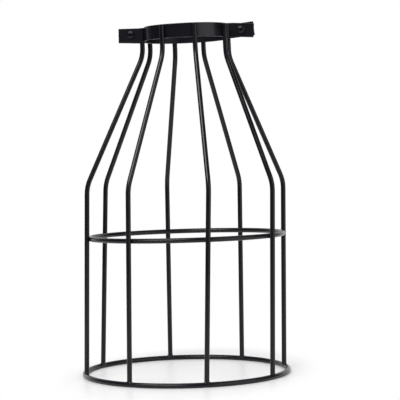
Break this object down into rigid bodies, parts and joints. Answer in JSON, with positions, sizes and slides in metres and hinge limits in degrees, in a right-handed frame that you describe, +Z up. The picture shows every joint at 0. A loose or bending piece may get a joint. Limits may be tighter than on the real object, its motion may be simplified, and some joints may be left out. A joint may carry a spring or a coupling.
{
  "type": "cage lampshade",
  "caption": "Bottle-shaped cage of black painted wire with a strip collar that two screws clamp round a lampholder.",
  "frame": {"origin": "on the floor, in the middle of the bottom ring that the cage stands on", "axes": "+Z up along the cage towards its collar; the collar's ears point along X; the front half of the collar faces -Y"},
  "size_m": [0.12, 0.12, 0.2013],
  "materials": {
    "painted_wire": "satin black paint",
    "painted_strip": "satin black paint",
    "painted_screws": "semi-gloss black"
  },
  "bodies": {
    "root": {"bottom_ring": "painted_wire", "mid_ring": "painted_wire", "bar_1": "painted_wire", "bar_2": "painted_wire", "bar_3": "painted_wire", "bar_4": "painted_wire", "bar_5": "painted_wire", "bar_6": "painted_wire", "bar_7": "painted_wire", "bar_8": "painted_wire", "collar_front_half": "painted_strip", "collar_rear_half": "painted_strip", "clamp_screw_left": "painted_screws", "clamp_screw_right": "painted_screws", "clamp_nut_left": "painted_screws", "clamp_nut_right": "painted_screws"}
  },
  "joints": []
}
